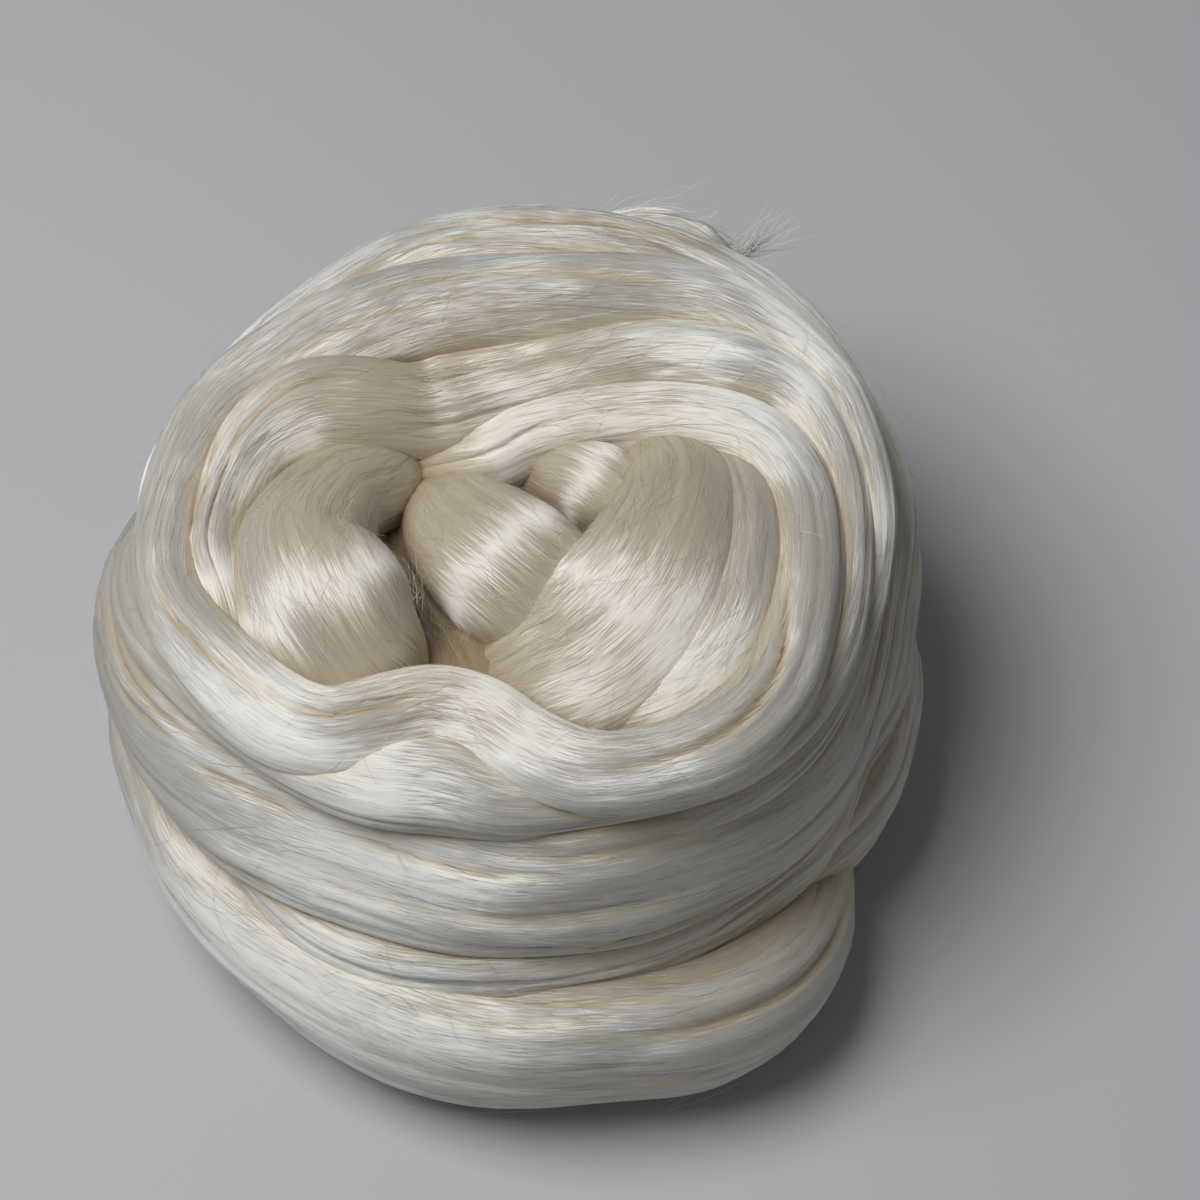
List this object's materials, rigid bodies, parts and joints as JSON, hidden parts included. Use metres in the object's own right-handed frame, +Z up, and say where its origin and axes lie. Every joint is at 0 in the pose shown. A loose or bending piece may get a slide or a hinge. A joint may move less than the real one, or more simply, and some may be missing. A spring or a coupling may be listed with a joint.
{
  "type": "silk roving",
  "caption": "Squat ball of cream silk roving: one soft combed band, folded at the top and wound round itself, with a loose end at the back.",
  "frame": {"origin": "middle of the flat spot under the ball, where it rests", "axes": "+Z up, -Y to the front, +X to the right as seen from the front"},
  "size_m": [0.1585, 0.1643, 0.102],
  "materials": {
    "silk": "cream white combed silk fibre with a soft sheen along the band"
  },
  "bodies": {
    "root": {"silk_roving": "silk"}
  },
  "joints": []
}
